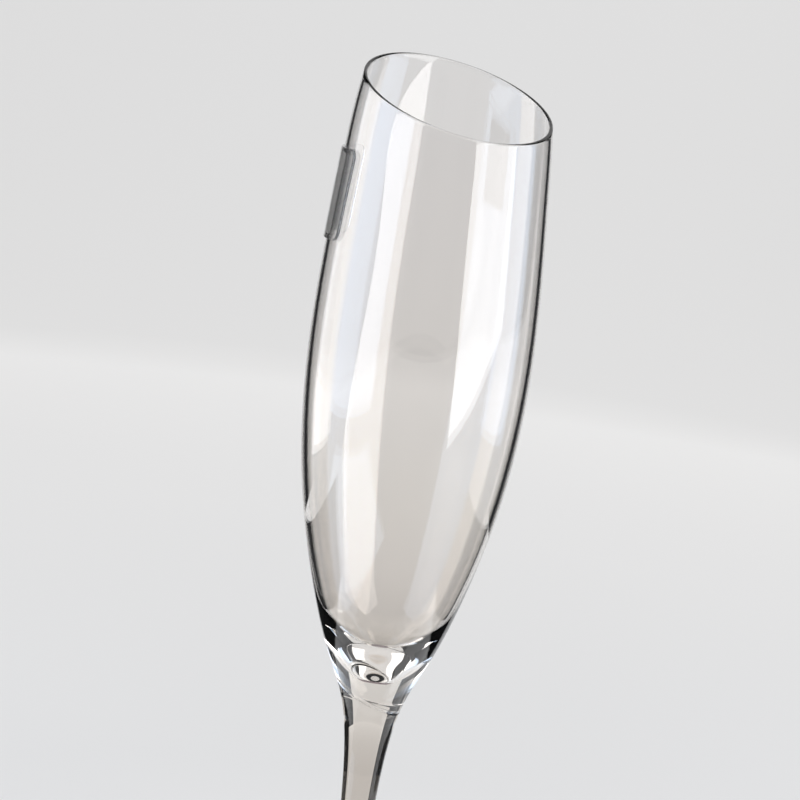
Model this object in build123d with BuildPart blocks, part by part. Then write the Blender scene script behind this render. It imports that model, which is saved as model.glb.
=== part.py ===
"""Champagne flute with a slanted rim and a clear label with a printed panel on its bowl.

Z is the axis of the glass and +Z points up. The origin is on that axis, in the plane the foot rests on.
The rim is lowest towards -Y. All lengths are millimetres and all angles are degrees. A rise is the height
of one point of the outline above the point before it.
"""
from build123d import *
from math import cos, radians, sin, tan
import os

# Foot, a turned disc with a shallow hollow underneath
foot_radius = 34.0
foot_edge_thickness = 2.4
foot_edge_rounding = 0.9
foot_shoulder_radius = 20.0
foot_shoulder_height = 3.6
foot_rest_width = 9.0
foot_hollow_rise = 1.4

# Joint where the stem is fused to the foot
foot_joint_radius = 8.4
foot_joint_height = 6.0

# Stem, slimmest at its waist
stem_flare_radius = 5.5
stem_flare_rise = 4.5
stem_root_radius = 4.0
stem_root_rise = 11.5
stem_waist_radius = 3.6
stem_waist_rise = 19.0
stem_top_radius = 4.1
stem_top_rise = 21.0
stem_neck_radius = 5.35
stem_neck_rise = 16.0

# Outside of the bowl, from its base to its rim
base_radius = 7.7
base_rise = 11.0
heel_radius = 12.4
heel_rise = 11.0
flank_radius = 17.8
flank_rise = 15.4
shoulder_radius = 22.25
shoulder_rise = 17.6
belly_radius = 25.97
belly_rise = 39.6
throat_radius = 24.0
throat_rise = 39.6
rim_radius = 22.0
rim_rise = 19.8
rim_taper = 0.235

# Joint where the bowl is fused to the stem, on a slant through the base of the bowl
bowl_joint_tilt = 20.0
bowl_joint_low_azimuth = -28.0

# Rim, cut on a slant and rounded in the flame
rim_slant = 20.6
rim_low_azimuth = -90.0
rim_rounding = 0.34

# Inside of the bowl: a small flat floor, a cone that flares out, then an even wall up to the rim
floor_thickness = 6.3
cavity_floor_radius = 1.8
cavity_toe_radius = 3.6
cavity_toe_rise = 1.3
cavity_tip_radius = 5.6
cavity_tip_rise = 2.2
cavity_cone_radius = 8.0
cavity_cone_rise = 2.8
cavity_flare_inset = 5.05
cavity_flare_drop = 10.4
cavity_turn_inset = 2.25
cavity_turn_drop = 5.9
flank_wall = 1.55
shoulder_wall = 1.35
belly_wall = 1.05
throat_wall = 0.9
rim_wall = 0.8

# Label, a printed panel under a thicker clear film with rounded corners
label_azimuth = 152.0
label_drop = 25.2
film_width = 25.2
film_height = 20.8
film_corner_radius = 2.2
film_thickness = 0.60
print_width = 16.8
print_height = 18.6
print_corner_radius = 1.0
print_thickness = 0.15

# Height that the blank is turned above the rim before the rim is cut
blank_margin = 5.0

# Heights above the resting plane
flare_height = foot_joint_height + stem_flare_rise
root_height = flare_height + stem_root_rise
waist_height = root_height + stem_waist_rise
top_height = waist_height + stem_top_rise
neck_height = top_height + stem_neck_rise
base_height = neck_height + base_rise
heel_height = base_height + heel_rise
flank_height = heel_height + flank_rise
shoulder_height = flank_height + shoulder_rise
belly_height = shoulder_height + belly_rise
throat_height = belly_height + throat_rise
rim_height = throat_height + rim_rise
blank_rise = rim_radius * tan(radians(rim_slant)) + blank_margin
blank_height = rim_height + blank_rise
blank_radius = rim_radius - rim_taper * blank_rise
cavity_floor_height = base_height + floor_thickness
cavity_toe_height = cavity_floor_height + cavity_toe_rise
cavity_tip_height = cavity_toe_height + cavity_tip_rise
cavity_cone_height = cavity_tip_height + cavity_cone_rise
cavity_flare_height = flank_height - cavity_flare_drop
cavity_turn_height = flank_height - cavity_turn_drop
label_height = rim_height - label_drop
label_bottom = label_height - film_height / 2
label_top = label_height + film_height / 2
label_inner_radius = belly_radius / 2

os.makedirs("parts", exist_ok=True)


def tilted_plane(height, tilt, low_azimuth):
    """A plane across the axis at the given height, lowest towards low_azimuth."""
    low = radians(low_azimuth)
    slope = radians(tilt)
    normal = (sin(slope) * cos(low), sin(slope) * sin(low), cos(slope))
    return Plane(origin=(0, 0, height), z_dir=normal)


rim_plane = tilted_plane(rim_height, rim_slant, rim_low_azimuth)
joint_plane = tilted_plane(base_height, bowl_joint_tilt, bowl_joint_low_azimuth)

# The stem and the bowl share one outline, from the foot joint to a little above the rim
with BuildSketch(Plane.XZ) as outline:
    with BuildLine():
        Spline(
            (foot_joint_radius, foot_joint_height),
            (stem_flare_radius, flare_height),
            (stem_root_radius, root_height),
            (stem_waist_radius, waist_height),
            (stem_top_radius, top_height),
            (stem_neck_radius, neck_height),
            (base_radius, base_height),
            (heel_radius, heel_height),
            (flank_radius, flank_height),
            (shoulder_radius, shoulder_height),
            (belly_radius, belly_height),
            (throat_radius, throat_height),
            (rim_radius, rim_height),
            (blank_radius, blank_height),
        )
        Polyline(
            (blank_radius, blank_height),
            (0, blank_height),
            (0, foot_joint_height),
            (foot_joint_radius, foot_joint_height),
        )
    make_face()

# The solid of stem and bowl before they are parted
with BuildPart() as blank:
    add(outline.sketch)
    revolve(axis=Axis.Z)

# Foot: flat resting ring, hollow underside, thin rounded edge
with BuildPart() as foot:
    with BuildSketch(Plane.XZ):
        with BuildLine():
            Line((0, foot_hollow_rise), (0, foot_joint_height))
            Line((0, foot_joint_height), (foot_joint_radius, foot_joint_height))
            Spline(
                (foot_joint_radius, foot_joint_height),
                (foot_shoulder_radius, foot_shoulder_height),
                (foot_radius, foot_edge_thickness),
            )
            Line((foot_radius, foot_edge_thickness), (foot_radius, 0))
            Line((foot_radius, 0), (foot_radius - foot_rest_width, 0))
            Spline(
                (foot_radius - foot_rest_width, 0),
                (0, foot_hollow_rise),
                tangents=((-1, 0.3), (-1, 0)),
            )
        make_face()
    revolve(axis=Axis.Z)
    circles = foot.edges().filter_by(GeomType.CIRCLE)
    fillet(circles.sort_by(SortBy.RADIUS)[-2:], radius=foot_edge_rounding)
foot.part.label = "foot"
export_step(foot.part, "parts/foot.step")

# Stem: the blank between the foot joint and the slanted bowl joint
with BuildPart() as stem:
    add(blank.part)
    split(bisect_by=joint_plane, keep=Keep.BOTTOM)
stem.part.label = "stem"
export_step(stem.part, "parts/stem.step")

# Bowl: the blank above the joint, hollowed, cut on the slant and rounded at the lip
with BuildPart() as bowl:
    add(blank.part)
    split(bisect_by=joint_plane, keep=Keep.TOP)
    with BuildSketch(Plane.XZ):
        with BuildLine():
            Line((0, cavity_floor_height), (cavity_floor_radius, cavity_floor_height))
            Spline(
                (cavity_floor_radius, cavity_floor_height),
                (cavity_toe_radius, cavity_toe_height),
                (cavity_tip_radius, cavity_tip_height),
                (cavity_cone_radius, cavity_cone_height),
                (flank_radius - flank_wall - cavity_flare_inset, cavity_flare_height),
                (flank_radius - flank_wall - cavity_turn_inset, cavity_turn_height),
                (flank_radius - flank_wall, flank_height),
                (shoulder_radius - shoulder_wall, shoulder_height),
                (belly_radius - belly_wall, belly_height),
                (throat_radius - throat_wall, throat_height),
                (rim_radius - rim_wall, rim_height),
                (blank_radius - rim_wall, blank_height),
            )
            Polyline(
                (blank_radius - rim_wall, blank_height),
                (0, blank_height),
                (0, cavity_floor_height),
            )
        make_face()
    revolve(axis=Axis.Z, mode=Mode.SUBTRACT)
    split(bisect_by=rim_plane, keep=Keep.BOTTOM)
    lip = bowl.faces().sort_by(Axis.Z)[-1]
    fillet(lip.edges(), radius=rim_rounding)
bowl.part.label = "bowl"
export_step(bowl.part, "parts/bowl.step")

# Plane facing the label, with its local X along the circumference
facing = radians(label_azimuth)
label_plane = Plane(
    origin=(0, 0, label_height),
    x_dir=(-sin(facing), cos(facing), 0),
    z_dir=(cos(facing), sin(facing), 0),
)


def wall_radius(height):
    """Outside radius of the blank at the given height."""
    level = Edge.make_line((0, 0, height), (2 * belly_radius, 0, height))
    return (level & outline.sketch.faces()[0]).length


# Room for the printed panel: its shape carried on into the wall of the bowl
with BuildPart() as print_room:
    with BuildSketch(Plane.XZ):
        with BuildLine():
            Spline(
                (wall_radius(label_bottom) + print_thickness, label_bottom),
                (wall_radius(label_height) + print_thickness, label_height),
                (wall_radius(label_top) + print_thickness, label_top),
            )
            Polyline(
                (wall_radius(label_top) + print_thickness, label_top),
                (label_inner_radius, label_top),
                (label_inner_radius, label_bottom),
                (wall_radius(label_bottom) + print_thickness, label_bottom),
            )
        make_face()
    revolve(axis=Axis.Z)
    with BuildSketch(label_plane):
        RectangleRounded(print_width, print_height, print_corner_radius)
    extrude(amount=2 * belly_radius, mode=Mode.INTERSECT)

# Printed panel, on the outside of the bowl
with BuildPart() as label_print:
    add(print_room.part)
    add(blank.part, mode=Mode.SUBTRACT)
label_print.part.label = "label_print"
export_step(label_print.part, "parts/label_print.step")

# Clear film, over the printed panel and stuck to the bowl around it
with BuildPart() as label_film:
    with BuildSketch(Plane.XZ):
        with BuildLine():
            Spline(
                (wall_radius(label_bottom) + film_thickness, label_bottom),
                (wall_radius(label_height) + film_thickness, label_height),
                (wall_radius(label_top) + film_thickness, label_top),
            )
            Polyline(
                (wall_radius(label_top) + film_thickness, label_top),
                (label_inner_radius, label_top),
                (label_inner_radius, label_bottom),
                (wall_radius(label_bottom) + film_thickness, label_bottom),
            )
        make_face()
    revolve(axis=Axis.Z)
    with BuildSketch(label_plane):
        RectangleRounded(film_width, film_height, film_corner_radius)
    extrude(amount=2 * belly_radius, mode=Mode.INTERSECT)
    add(blank.part, mode=Mode.SUBTRACT)
    add(print_room.part, mode=Mode.SUBTRACT)
label_film.part.label = "label_film"
export_step(label_film.part, "parts/label_film.step")
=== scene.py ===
import math

import bpy
import numpy as np
from mathutils import Matrix, Quaternion, Vector


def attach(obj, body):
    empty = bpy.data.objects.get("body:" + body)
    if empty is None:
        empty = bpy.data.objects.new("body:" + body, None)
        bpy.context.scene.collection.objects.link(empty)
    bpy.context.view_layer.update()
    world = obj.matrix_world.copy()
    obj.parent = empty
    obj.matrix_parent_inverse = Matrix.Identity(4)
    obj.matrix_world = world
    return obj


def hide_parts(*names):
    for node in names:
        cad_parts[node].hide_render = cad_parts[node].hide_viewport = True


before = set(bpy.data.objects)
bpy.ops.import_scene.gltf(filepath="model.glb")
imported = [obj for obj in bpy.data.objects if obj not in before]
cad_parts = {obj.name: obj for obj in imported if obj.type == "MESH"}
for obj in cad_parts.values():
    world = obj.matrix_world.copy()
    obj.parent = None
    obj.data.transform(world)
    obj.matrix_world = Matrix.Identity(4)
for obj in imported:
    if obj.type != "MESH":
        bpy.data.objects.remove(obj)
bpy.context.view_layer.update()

MM = 0.001

# ---------------------------------------------------------------- sizes, as in the CAD, in mm
STEM_BOWL = [
    (8.4, 6.0), (5.5, 10.5), (4.0, 22.0), (3.6, 41.0), (4.1, 62.0), (5.35, 78.0), (7.7, 89.0),
    (12.4, 100.0), (17.8, 115.4), (22.25, 133.0), (25.97, 172.6), (24.0, 212.2), (22.0, 232.0),
]
RIM_SLANT = math.radians(20.6)
RIM_TAPER = 0.235
RIM_RADIUS = 22.0
RIM_INNER_RADIUS = 21.2
RIM_HEIGHT = 232.0
# The outline carries on above the rim's centre so that the slanted rim can be cut from it
BLANK_RISE = RIM_RADIUS * math.tan(RIM_SLANT) + 5.0
STEM_BOWL.append((RIM_RADIUS - RIM_TAPER * BLANK_RISE, RIM_HEIGHT + BLANK_RISE))
CAVITY = [
    (1.8, 95.3), (3.6, 96.6), (5.6, 98.8), (8.0, 101.6), (11.2, 105.0), (14.0, 109.5), (16.25, 115.4),
    (20.9, 133.0), (24.92, 172.6),
    (23.1, 212.2), (RIM_INNER_RADIUS, RIM_HEIGHT),
    (RIM_INNER_RADIUS - RIM_TAPER * BLANK_RISE, RIM_HEIGHT + BLANK_RISE),
]
CAVITY_FLOOR = CAVITY[0][1]
CAVITY_FLOOR_RADIUS = CAVITY[0][0]
# Below this height the cavity's surface is etched
SPOT_TOP = 95.8
RIM_LOW = math.radians(-90.0)
LIP_ROUNDING = 0.34
JOINT_HEIGHT = 89.0
JOINT_TILT = math.radians(20.0)
JOINT_LOW = math.radians(-28.0)
FOOT_JOINT = 6.0
FOOT_JOINT_RADIUS = 8.4
FOOT_RADIUS = 34.0
FOOT_EDGE = 2.4
FOOT_EDGE_ROUNDING = 0.9
FOOT_REST_MIDDLE = 29.0
FOOT_SHOULDER = [(FOOT_JOINT_RADIUS, FOOT_JOINT), (20.0, 3.6), (FOOT_RADIUS, FOOT_EDGE)]
# Underside of the foot from its middle to the flat resting ring
FOOT_HOLLOW = [
    (0.0, 1.4), (2.0, 1.409), (4.0, 1.432), (6.0, 1.458), (8.0, 1.481), (10.0, 1.492), (12.0, 1.483),
    (14.0, 1.442), (16.0, 1.360), (18.0, 1.222), (20.0, 1.012), (22.0, 0.707), (24.0, 0.276), (25.0, 0.0),
]
LABEL_AZIMUTH = math.radians(152.0)
LABEL_HEIGHT = 206.8

# Mesh fineness
SEGMENTS = 256
CAP_STEPS = 6
BOWL_STEPS = 150
CAVITY_STEPS = 190
CAVITY_CROWDING = 1.6
STEM_STEPS = 150
PLANE_PASSES = 30

GLASS_IOR = 1.52

# Warm tint of the glass against height in metres
GLASS_TINT = [
    (0.000, (0.95, 0.90, 0.85)), (0.070, (0.88, 0.81, 0.74)), (0.095, (0.93, 0.89, 0.84)),
    (0.115, (0.978, 0.945, 0.915)), (0.137, (0.98, 0.955, 0.925)), (0.156, (0.98, 0.96, 0.94)),
    (0.207, (0.995, 0.98, 0.97)), (0.232, (1.00, 0.99, 0.985)),
]

# Height in metres at the end of the tint's ramp, and how far noise moves a point along it
TINT_TOP = 0.25
TINT_WANDER = 0.01


# ---------------------------------------------------------------- outline maths
def spline(points, per_span=60):
    """Dense points of the cubic spline through the points, spaced by chord length."""
    p = np.array(points, float)
    h = np.linalg.norm(np.diff(p, axis=0), axis=1)
    t = np.concatenate([[0], np.cumsum(h)])
    n = len(p)

    def end_slope(idx, at):
        slope = np.zeros(2)
        for i in idx:
            others = [j for j in idx if j != i]
            total = 0.0
            for k in others:
                term = 1.0 / (t[i] - t[k])
                for j in others:
                    if j != k:
                        term *= (t[at] - t[j]) / (t[i] - t[j])
                total += term
            slope += p[i] * total
        return slope

    a = np.zeros((n, n))
    b = np.zeros((n, 2))
    a[0, 0] = a[-1, -1] = 1
    b[0] = end_slope(range(0, 4), 0)
    b[-1] = end_slope(range(n - 4, n), n - 1)
    for i in range(1, n - 1):
        a[i, i - 1] = h[i]
        a[i, i] = 2 * (h[i - 1] + h[i])
        a[i, i + 1] = h[i - 1]
        b[i] = 3 * (h[i] * (p[i] - p[i - 1]) / h[i - 1] + h[i - 1] * (p[i + 1] - p[i]) / h[i])
    m = np.linalg.solve(a, b)
    out = []
    for i in range(n - 1):
        for s in np.linspace(0, 1, per_span, endpoint=False):
            out.append(
                (2 * s**3 - 3 * s**2 + 1) * p[i] + (s**3 - 2 * s**2 + s) * h[i] * m[i]
                + (3 * s**2 - 2 * s**3) * p[i + 1] + (s**3 - s**2) * h[i] * m[i + 1]
            )
    out.append(p[-1])
    return np.array(out)


OUTER = spline(STEM_BOWL)
INNER = spline(CAVITY)


def r_out(z):
    """Radius of the outside of the stem and bowl at a height."""
    return np.interp(z, OUTER[:, 1], OUTER[:, 0])


def r_in(z):
    """Radius of the bowl's cavity at a height."""
    return np.interp(z, INNER[:, 1], INNER[:, 0])


THETA = np.linspace(0, 2 * math.pi, SEGMENTS, endpoint=False)


def plane_z(r, height, tilt, low):
    """Height of a slanted plane at a radius, all the way round; low is where it is lowest."""
    return height - math.tan(tilt) * r * np.cos(THETA - low)


def wall_at_plane(wall, height, tilt, low, below=0.0):
    """Radius and height, all the way round, where a wall meets a slanted plane less a drop."""
    z = np.full(SEGMENTS, height)
    for _ in range(PLANE_PASSES):
        z = plane_z(wall(z), height, tilt, low) - below
    return wall(z), z


# ---------------------------------------------------------------- meshes
def ring(r, z):
    """Points of one ring, in mm."""
    r = np.broadcast_to(r, (SEGMENTS,))
    z = np.broadcast_to(z, (SEGMENTS,))
    return np.stack([r * np.cos(THETA), r * np.sin(THETA), z], -1)


def lathe(name, rings, first, last, slots, slot_of_ring):
    """A closed turned mesh: a point, rings, and a point."""
    verts = [np.array([first])] + rings + [np.array([last])]
    co = np.concatenate(verts) * MM
    faces = []
    mats = []
    s = np.arange(SEGMENTS)
    nxt = (s + 1) % SEGMENTS
    for a, b in zip(s, nxt):
        faces.append((0, 1 + b, 1 + a))
    mats += [slot_of_ring(0)] * SEGMENTS
    for k in range(len(rings) - 1):
        lo = 1 + k * SEGMENTS
        hi = lo + SEGMENTS
        for a, b in zip(s, nxt):
            faces.append((lo + a, lo + b, hi + b, hi + a))
        mats += [slot_of_ring(k + 1)] * SEGMENTS
    lo = 1 + (len(rings) - 1) * SEGMENTS
    end = len(co) - 1
    for a, b in zip(s, nxt):
        faces.append((lo + a, lo + b, end))
    mats += [slot_of_ring(len(rings))] * SEGMENTS
    me = bpy.data.meshes.new(name)
    me.from_pydata([tuple(c) for c in co.tolist()], [], [tuple(int(i) for i in f) for f in faces])
    me.polygons.foreach_set("material_index", mats)
    me.polygons.foreach_set("use_smooth", [True] * len(me.polygons))
    for m in slots:
        me.materials.append(m)
    me.update()
    ob = bpy.data.objects.new(name, me)
    bpy.context.collection.objects.link(ob)
    return ob


# ---------------------------------------------------------------- materials
def nodes_of(name):
    """A new material with only its output node."""
    m = bpy.data.materials.new(name)
    m.use_nodes = True
    nt = m.node_tree
    nt.nodes.clear()
    out = nt.nodes.new("ShaderNodeOutputMaterial")
    return m, nt, out


def noise(nt, scale, detail=2.0):
    """Noise over the object, with a scale per metre."""
    tc = nt.nodes.new("ShaderNodeTexCoord")
    n = nt.nodes.new("ShaderNodeTexNoise")
    n.inputs["Scale"].default_value = scale
    n.inputs["Detail"].default_value = detail
    nt.links.new(tc.outputs["Object"], n.inputs["Vector"])
    return n


def ramp(nt, fac, stops):
    """A colour for each value of fac, from (value, colour) stops."""
    r = nt.nodes.new("ShaderNodeValToRGB")
    el = r.color_ramp.elements
    while len(el) < len(stops):
        el.new(0.5)
    for e, (pos, col) in zip(el, stops):
        e.position = pos
        e.color = (*col, 1.0)
    nt.links.new(fac, r.inputs["Fac"])
    return r


def glass_material():
    m, nt, out = nodes_of("clear_glass")
    p = nt.nodes.new("ShaderNodeBsdfPrincipled")
    p.inputs["Transmission Weight"].default_value = 1.0
    p.inputs["IOR"].default_value = GLASS_IOR
    p.inputs["Roughness"].default_value = 0.0
    tc = nt.nodes.new("ShaderNodeTexCoord")
    xyz = nt.nodes.new("ShaderNodeSeparateXYZ")
    nt.links.new(tc.outputs["Object"], xyz.inputs[0])
    height = nt.nodes.new("ShaderNodeMapRange")
    height.inputs["From Min"].default_value = 0.0
    height.inputs["From Max"].default_value = TINT_TOP
    nt.links.new(xyz.outputs["Z"], height.inputs["Value"])
    n = noise(nt, 18.0, 2.0)
    spread = nt.nodes.new("ShaderNodeMath")
    spread.operation = "MULTIPLY_ADD"
    nt.links.new(n.outputs["Fac"], spread.inputs[0])
    spread.inputs[1].default_value = 2 * TINT_WANDER
    nt.links.new(height.outputs["Result"], spread.inputs[2])
    c = ramp(nt, spread.outputs[0], [(z / TINT_TOP + TINT_WANDER, col) for z, col in GLASS_TINT])
    nt.links.new(c.outputs["Color"], p.inputs["Base Color"])
    nt.links.new(p.outputs["BSDF"], out.inputs["Surface"])
    return m


def joint_material():
    m, nt, out = nodes_of("fused_joint")
    t = nt.nodes.new("ShaderNodeBsdfTransparent")
    nt.links.new(t.outputs["BSDF"], out.inputs["Surface"])
    return m


def spot_material():
    m, nt, out = nodes_of("etched_spot")
    p = nt.nodes.new("ShaderNodeBsdfPrincipled")
    p.inputs["Transmission Weight"].default_value = 0.10
    p.inputs["IOR"].default_value = GLASS_IOR
    n = noise(nt, 900.0, 3.0)
    c = ramp(nt, n.outputs["Fac"], [(0.35, (0.40, 0.29, 0.33)), (0.65, (0.52, 0.40, 0.44))])
    nt.links.new(c.outputs["Color"], p.inputs["Base Color"])
    p.inputs["Roughness"].default_value = 0.5
    nt.links.new(p.outputs["BSDF"], out.inputs["Surface"])
    return m


def film_material():
    m, nt, out = nodes_of("label_film")
    p = nt.nodes.new("ShaderNodeBsdfPrincipled")
    p.inputs["Transmission Weight"].default_value = 1.0
    p.inputs["IOR"].default_value = 1.33
    p.inputs["Roughness"].default_value = 0.12
    n = noise(nt, 260.0, 4.0)
    c = ramp(nt, n.outputs["Fac"], [(0.3, (0.90, 0.90, 0.90)), (0.7, (0.97, 0.97, 0.97))])
    nt.links.new(c.outputs["Color"], p.inputs["Base Color"])
    nt.links.new(p.outputs["BSDF"], out.inputs["Surface"])
    return m


def print_material():
    m, nt, out = nodes_of("label_print")
    p = nt.nodes.new("ShaderNodeBsdfPrincipled")
    n = noise(nt, 700.0, 4.0)
    c = ramp(nt, n.outputs["Fac"], [(0.3, (0.53, 0.52, 0.505)), (0.7, (0.64, 0.63, 0.615))])
    nt.links.new(c.outputs["Color"], p.inputs["Base Color"])
    p.inputs["Roughness"].default_value = 0.55
    nt.links.new(p.outputs["BSDF"], out.inputs["Surface"])
    return m


GLASS = glass_material()
JOINT = joint_material()
SPOT = spot_material()
FILM = film_material()
PRINT = print_material()


# ---------------------------------------------------------------- the bowl
def between(za, zb, n):
    """Heights from za to zb, all the way round, without the ends."""
    return [za + (zb - za) * k / n for k in range(1, n)]


JR, JZ = wall_at_plane(r_out, JOINT_HEIGHT, JOINT_TILT, JOINT_LOW)


def joint_cap():
    """Rings of the slanted plane where the stem meets the bowl, from the middle outwards."""
    shares = [k / CAP_STEPS for k in range(1, CAP_STEPS)]
    return [ring(JR * f, JOINT_HEIGHT + (JZ - JOINT_HEIGHT) * f) for f in shares]


def make_bowl():
    rings = joint_cap()
    caps = len(rings)
    rings.append(ring(JR, JZ))
    ro, zo = wall_at_plane(r_out, RIM_HEIGHT, RIM_SLANT, RIM_LOW, LIP_ROUNDING)
    ri, zi = wall_at_plane(r_in, RIM_HEIGHT, RIM_SLANT, RIM_LOW, LIP_ROUNDING)
    for z in between(JZ, zo, BOWL_STEPS):
        rings.append(ring(r_out(z), z))
    mid_r, mid_z = (ro + ri) / 2, (zo + zi) / 2
    half_r, half_z = (ro - ri) / 2, (zo - zi) / 2
    for s in np.linspace(0, math.pi, 17):
        z = mid_z + half_z * math.cos(s) + LIP_ROUNDING * math.sin(s)
        rings.append(ring(mid_r + half_r * math.cos(s), z))
    # down the inside, with the rings closer together towards the floor
    spot = None
    for k in range(1, CAVITY_STEPS):
        f = 1 - (1 - k / CAVITY_STEPS) ** CAVITY_CROWDING
        z = zi + (CAVITY_FLOOR - zi) * f
        if spot is None and z.max() < SPOT_TOP:
            spot = len(rings)
        rings.append(ring(r_in(z), z))
    for share in (1.0, 0.97, 0.5):
        rings.append(ring(CAVITY_FLOOR_RADIUS * share, CAVITY_FLOOR))
    centre = (0, 0, CAVITY_FLOOR)

    def slot(k):
        if k <= caps:
            return 1
        if k >= spot:
            return 2
        return 0

    return lathe("bowl_glass", rings, (0, 0, JOINT_HEIGHT), centre, [GLASS, JOINT, SPOT], slot)


def make_stem():
    rings = [ring(FOOT_JOINT_RADIUS * 0.5, FOOT_JOINT), ring(FOOT_JOINT_RADIUS, FOOT_JOINT)]
    for z in between(np.full(SEGMENTS, FOOT_JOINT), JZ, STEM_STEPS):
        rings.append(ring(r_out(z), z))
    rings.append(ring(JR, JZ))
    wall = len(rings)
    rings += joint_cap()[::-1]

    def slot(k):
        return 1 if k < 2 or k >= wall else 0

    return lathe("stem_glass", rings, (0, 0, FOOT_JOINT), (0, 0, JOINT_HEIGHT), [GLASS, JOINT], slot)


def make_foot():
    underside = spline(FOOT_HOLLOW)
    hollow = FOOT_HOLLOW[0][1]
    rest = FOOT_HOLLOW[-1][0]
    rings = []
    for k in range(1, 40):
        r = rest * k / 40
        rings.append(ring(r, float(np.interp(r, underside[:, 0], underside[:, 1]))))
    rings.append(ring(rest, 0.0))
    rings.append(ring(FOOT_REST_MIDDLE, 0.0))
    # edge, rounded below and above
    inset = FOOT_RADIUS - FOOT_EDGE_ROUNDING
    for s in np.linspace(0, math.pi / 2, 10):
        r = inset + FOOT_EDGE_ROUNDING * math.sin(s)
        rings.append(ring(r, FOOT_EDGE_ROUNDING - FOOT_EDGE_ROUNDING * math.cos(s)))
    for s in np.linspace(0, math.pi / 2, 10):
        r = inset + FOOT_EDGE_ROUNDING * math.cos(s)
        rings.append(ring(r, FOOT_EDGE - FOOT_EDGE_ROUNDING + FOOT_EDGE_ROUNDING * math.sin(s)))
    # top: a parabola through the three points of the shoulder
    shoulder = np.polyfit(*np.array(FOOT_SHOULDER).T, 2)
    for k in range(1, 60):
        r = inset + (FOOT_JOINT_RADIUS - inset) * k / 60
        rings.append(ring(r, np.polyval(shoulder, r)))
    rings.append(ring(FOOT_JOINT_RADIUS, FOOT_JOINT))
    wall = len(rings)
    rings.append(ring(FOOT_JOINT_RADIUS * 0.5, FOOT_JOINT))

    def slot(k):
        return 1 if k >= wall else 0

    return lathe("foot_glass", rings, (0, 0, hollow), (0, 0, FOOT_JOINT), [GLASS, JOINT], slot)


# ---------------------------------------------------------------- the label
def rounded_patch(name, width, height, corner, inner, outer, material, soft_edge=0.0, n=48):
    """A thin plate bent round the bowl, with rounded corners, from one offset to another."""
    def half_width(v):
        over = abs(v) - (height / 2 - corner)
        if over <= 0:
            return width / 2
        return width / 2 - corner + math.sqrt(max(corner**2 - over**2, 0.0))

    us = np.linspace(-1, 1, n)
    quarter = [corner * (1 - math.cos(a)) for a in np.linspace(0, math.pi / 2, 8)]
    straight = height / 2 - corner
    vs = [-height / 2 + q for q in quarter] + list(np.linspace(-straight, straight, 26))[1:-1]
    vs += [height / 2 - q for q in quarter[::-1]]
    verts = []
    for off in (outer, inner):
        for v in vs:
            z = LABEL_HEIGHT + v
            w = half_width(v)
            for u in us:
                x = w * u
                wall = float(r_out(z))
                a = LABEL_AZIMUTH + math.asin(x / wall)
                r = wall + off
                verts.append((r * math.cos(a) * MM, r * math.sin(a) * MM, z * MM))
    cols = len(us)
    rows = len(vs)
    layer = cols * rows
    faces = []
    for j in range(rows - 1):
        for i in range(cols - 1):
            a = j * cols + i
            faces.append((a, a + 1, a + cols + 1, a + cols))
            faces.append((layer + a, layer + a + cols, layer + a + cols + 1, layer + a + 1))
    edge = list(range(cols))
    edge += [j * cols + cols - 1 for j in range(1, rows)]
    edge += [(rows - 1) * cols + i for i in range(cols - 2, -1, -1)]
    edge += [j * cols for j in range(rows - 2, 0, -1)]
    for a, b in zip(edge, edge[1:] + edge[:1]):
        faces.append((a, layer + a, layer + b, b))
    me = bpy.data.meshes.new(name)
    me.from_pydata(verts, [], faces)
    me.polygons.foreach_set("use_smooth", [True] * len(me.polygons))
    me.materials.append(material)
    me.update()
    ob = bpy.data.objects.new(name, me)
    bpy.context.collection.objects.link(ob)
    if soft_edge:
        bevel = ob.modifiers.new("edge", "BEVEL")
        bevel.width = soft_edge * MM
        bevel.segments = 3
        bevel.limit_method = "ANGLE"
        bevel.angle_limit = math.radians(40)
    return ob


bowl = make_bowl()
stem = make_stem()
foot = make_foot()
film = rounded_patch("label_film_piece", 25.2, 20.8, 2.2, -0.04, 0.60, FILM, soft_edge=0.12)
panel = rounded_patch("label_print_piece", 16.8, 18.6, 1.0, -0.02, 0.15, PRINT)

for piece, node, slot_name in (
    (bowl, "bowl", "clear_glass"),
    (stem, "stem", "clear_glass"),
    (foot, "foot", "clear_glass"),
    (film, "label_film", "label_film"),
    (panel, "label_print", "label_print"),
):
    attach(piece, "root")
    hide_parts(node)

# ---------------------------------------------------------------- camera
IMAGE_PX = 800
SENSOR = 36.0
FOCAL_PX = 2200.0
ELEVATION = math.radians(2.0)
AZIMUTH = math.radians(-90.0 - 27.885)
DISTANCE = 22.824 * RIM_RADIUS * MM
ROLL, YAW, PITCH = math.radians(7.898), math.radians(-0.364), math.radians(-8.033)

rim_centre = Vector((0, 0, RIM_HEIGHT * MM))
towards = Vector((
    math.cos(AZIMUTH) * math.cos(ELEVATION), math.sin(AZIMUTH) * math.cos(ELEVATION), math.sin(ELEVATION),
))
place = rim_centre + DISTANCE * towards
fwd = -towards
right = Vector((-math.sin(AZIMUTH), math.cos(AZIMUTH), 0))
up = right.cross(fwd)
fwd2 = (fwd * math.cos(YAW) + right * math.sin(YAW)) * math.cos(PITCH) + up * math.sin(PITCH)
right2 = fwd2.cross(up).normalized()
up2 = right2.cross(fwd2)
right3 = right2 * math.cos(ROLL) + up2 * math.sin(ROLL)
up3 = -right2 * math.sin(ROLL) + up2 * math.cos(ROLL)
cam_data = bpy.data.cameras.new("camera")
cam_data.sensor_width = SENSOR
cam_data.lens = FOCAL_PX / IMAGE_PX * SENSOR
cam = bpy.data.objects.new("camera", cam_data)
bpy.context.collection.objects.link(cam)
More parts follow.
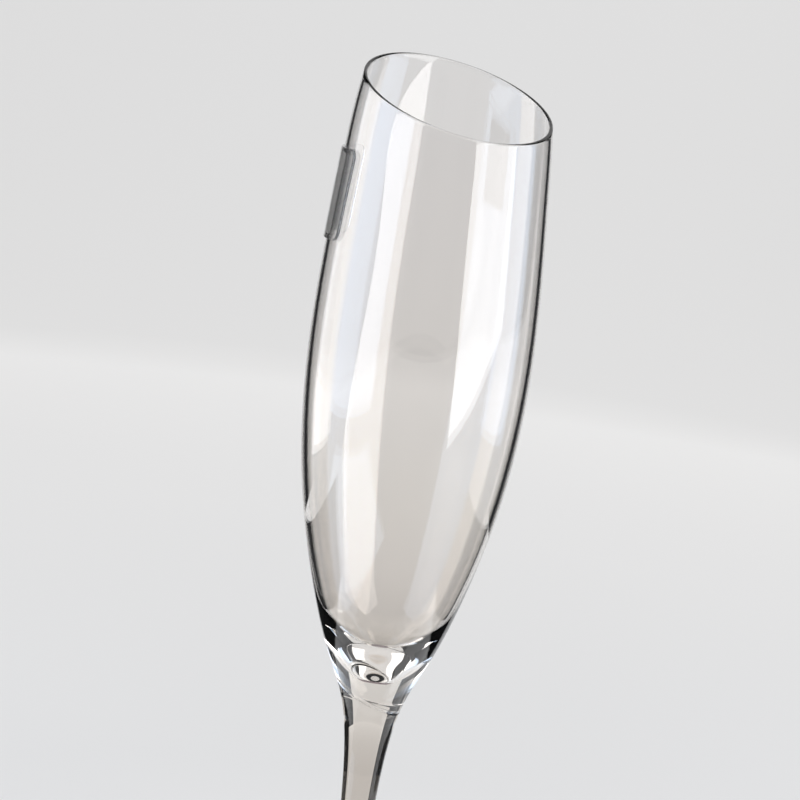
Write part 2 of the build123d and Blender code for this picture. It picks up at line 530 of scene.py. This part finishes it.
cam.matrix_world = Matrix((
    (right3.x, up3.x, -fwd2.x, place.x),
    (right3.y, up3.y, -fwd2.y, place.y),
    (right3.z, up3.z, -fwd2.z, place.z),
    (0, 0, 0, 1),
))
bpy.context.scene.camera = cam


# ---------------------------------------------------------------- studio
SWEEP_LEFT = 0.72
SWEEP_RIGHT = 1.65
# Strength of the sweep's painted glow against distance from the glass in metres: light the sweep gives
# off though it is no lamp
SWEEP_PAINTED_GLOW = [(0.20, 0.51), (0.55, 0.61), (0.90, 0.68), (1.0, 0.62)]
WORLD_SEEN = 0.70
WORLD_REFLECTED = 0.03


def bearing(delta, distance, z):
    """A point seen from the glass at an angle from the camera's side, towards image right."""
    a = AZIMUTH + math.radians(delta)
    return Vector((distance * math.cos(a), distance * math.sin(a), z))


def sweep():
    """The pale floor that curves up into the backdrop behind the glass; it glows with painted light that
    gives most of its brightness.
    """
    back = bearing(180, 1, 0)
    side = bearing(90, 1, 0)
    # distance behind the glass, and height
    prof = [(-1.2, 0.0), (-0.3, 0.0), (0.6, 0.0)]
    radius = 0.5
    for k in range(1, 17):
        a = math.pi / 2 * k / 16
        prof.append((0.9 + radius * math.sin(a), radius - radius * math.cos(a)))
    prof.append((1.4, 2.2))
    verts = []
    for d, z in prof:
        for w in (-SWEEP_LEFT, SWEEP_RIGHT):
            p = back * d + side * w
            verts.append((p.x, p.y, z))
    faces = [(2 * i, 2 * i + 1, 2 * i + 3, 2 * i + 2) for i in range(len(prof) - 1)]
    me = bpy.data.meshes.new("sweep")
    me.from_pydata(verts, [], faces)
    me.polygons.foreach_set("use_smooth", [True] * len(me.polygons))
    m, nt, out = nodes_of("pale_sweep_painted_glow")
    p = nt.nodes.new("ShaderNodeBsdfPrincipled")
    n = noise(nt, 3.0, 2.0)
    c = ramp(nt, n.outputs["Fac"], [(0.3, (0.315, 0.312, 0.312)), (0.7, (0.325, 0.322, 0.320))])
    nt.links.new(c.outputs["Color"], p.inputs["Base Color"])
    tc = nt.nodes.new("ShaderNodeTexCoord")
    far = nt.nodes.new("ShaderNodeVectorMath")
    far.operation = "LENGTH"
    nt.links.new(tc.outputs["Object"], far.inputs[0])
    painted_glow = ramp(nt, far.outputs["Value"], [(d, (g, g, g)) for d, g in SWEEP_PAINTED_GLOW])
    # painted light: the sweep glows though it is no lamp, brighter or dimmer with distance from the glass
    nt.links.new(painted_glow.outputs["Color"], p.inputs["Emission Strength"])
    p.inputs["Emission Color"].default_value = (1.0, 0.995, 0.99, 1.0)
    p.inputs["Roughness"].default_value = 0.9
    p.inputs["Specular IOR Level"].default_value = 0.1
    nt.links.new(p.outputs["BSDF"], out.inputs["Surface"])
    me.materials.append(m)
    ob = bpy.data.objects.new("floor", me)
    bpy.context.collection.objects.link(ob)


def compare(nt, count, operation):
    """1 where a count of bounces is above or below a half, and 0 elsewhere."""
    m = nt.nodes.new("ShaderNodeMath")
    m.operation = operation
    nt.links.new(count, m.inputs[0])
    m.inputs[1].default_value = 0.5
    return m


def hide_straight_through(data):
    """Leave a light out of what is seen straight through the glass; its reflections there stay."""
    data.use_nodes = True
    nt = data.node_tree
    path = nt.nodes.new("ShaderNodeLightPath")
    through = compare(nt, path.outputs["Transmission Depth"], "GREATER_THAN")
    unreflected = compare(nt, path.outputs["Glossy Depth"], "LESS_THAN")
    hidden = nt.nodes.new("ShaderNodeMath")
    hidden.operation = "MULTIPLY"
    nt.links.new(through.outputs[0], hidden.inputs[0])
    nt.links.new(unreflected.outputs[0], hidden.inputs[1])
    shown = nt.nodes.new("ShaderNodeMath")
    shown.operation = "SUBTRACT"
    shown.inputs[0].default_value = 1.0
    nt.links.new(hidden.outputs[0], shown.inputs[1])
    nt.links.new(shown.outputs[0], nt.nodes["Emission"].inputs["Strength"])


def softbox(name, delta, distance, z, width, height, radiance, target=None, colour=(1, 1, 1), roll=0):
    """A rectangular studio light facing the glass or a target, turned by roll degrees in its plane."""
    data = bpy.data.lights.new(name, "AREA")
    data.shape = "RECTANGLE"
    data.size = width
    data.size_y = height
    data.energy = radiance * math.pi * width * height
    data.color = colour
    ob = bpy.data.objects.new(name, data)
    bpy.context.collection.objects.link(ob)
    ob.location = bearing(delta, distance, z)
    aim = Vector((0, 0, z)) if target is None else Vector(target)
    turn = (aim - ob.location).to_track_quat("-Z", "Y")
    ob.rotation_euler = (turn @ Quaternion((0, 0, 1), math.radians(roll))).to_euler()
    ob.visible_camera = False
    hide_straight_through(data)
    return ob


def flag(name, ends, bottom, top):
    """A black card standing beside the glass, seen only in it; ends are (image right, away) in metres."""
    away = bearing(180, 1, 0)
    side = bearing(90, 1, 0)
    (x0, y0), (x1, y1) = ends
    a = side * x0 + away * y0
    b = side * x1 + away * y1
    verts = [(a.x, a.y, bottom), (b.x, b.y, bottom), (b.x, b.y, top), (a.x, a.y, top)]
    me = bpy.data.meshes.new(name)
    me.from_pydata(verts, [], [(0, 1, 2, 3)])
    m, nt, out = nodes_of(name + "_black")
    p = nt.nodes.new("ShaderNodeBsdfPrincipled")
    n = noise(nt, 40.0, 2.0)
    c = ramp(nt, n.outputs["Fac"], [(0.3, (0.010, 0.010, 0.010)), (0.7, (0.016, 0.015, 0.015))])
    nt.links.new(c.outputs["Color"], p.inputs["Base Color"])
    p.inputs["Roughness"].default_value = 0.9
    nt.links.new(p.outputs["BSDF"], out.inputs["Surface"])
    me.materials.append(m)
    ob = bpy.data.objects.new(name, me)
    bpy.context.collection.objects.link(ob)
    ob.visible_camera = False
    ob.visible_diffuse = False
    ob.visible_shadow = False


sweep()
flag("flag_left", ((-0.074, 0.158), (-0.16, -0.04)), 0.0, 0.080)
flag("flag_right", ((0.110, 0.137), (0.165, -0.04)), 0.0, 0.080)
flag("flag_left_high", ((-0.100, 0.210), (-0.185, 0.120)), 0.062, 0.27)
flag("flag_right_high", ((0.102, 0.210), (0.180, 0.125)), 0.062, 0.27)
softbox("key_right", 51, 0.46, 0.36, 0.40, 0.62, 3.6, roll=20)
softbox("fill_left", -108, 0.46, 0.31, 0.24, 0.62, 2.2)
softbox("cool_left", -68, 0.56, 0.31, 0.52, 0.62, 1.45, colour=(0.80, 1.0, 1.3))
softbox("cool_right", 94, 0.56, 0.31, 0.36, 0.62, 1.3, colour=(0.80, 1.0, 1.3))
softbox("table_left", -62, 0.26, 0.003, 0.30, 0.26, 1.1, target=(0, 0, 1000.0), colour=(0.85, 1.0, 1.2))
softbox("table_far_left", -104, 0.100, 0.003, 0.12, 0.10, 0.9, target=(0, 0, 1000.0))
softbox("table_far_right", 98, 0.100, 0.003, 0.12, 0.10, 0.9, target=(0, 0, 1000.0))
softbox("overhead", 180, 0.10, 1.4, 1.2, 1.2, 0.9, target=(0, 0, 0))

world = bpy.data.worlds.new("studio")
bpy.context.scene.world = world
world.use_nodes = True
world.cycles_visibility.diffuse = False
# Pale where it is seen directly or straight through the glass, and nearly dark in reflections
tree = world.node_tree
background = tree.nodes["Background"]
background.inputs["Color"].default_value = (1.0, 0.995, 0.99, 1.0)
path = tree.nodes.new("ShaderNodeLightPath")
reflected = compare(tree, path.outputs["Glossy Depth"], "GREATER_THAN")
strength = tree.nodes.new("ShaderNodeMapRange")
tree.links.new(reflected.outputs[0], strength.inputs["Value"])
strength.inputs["To Min"].default_value = WORLD_SEEN
strength.inputs["To Max"].default_value = WORLD_REFLECTED
tree.links.new(strength.outputs["Result"], background.inputs["Strength"])

bpy.context.scene.view_settings.view_transform = "Standard"
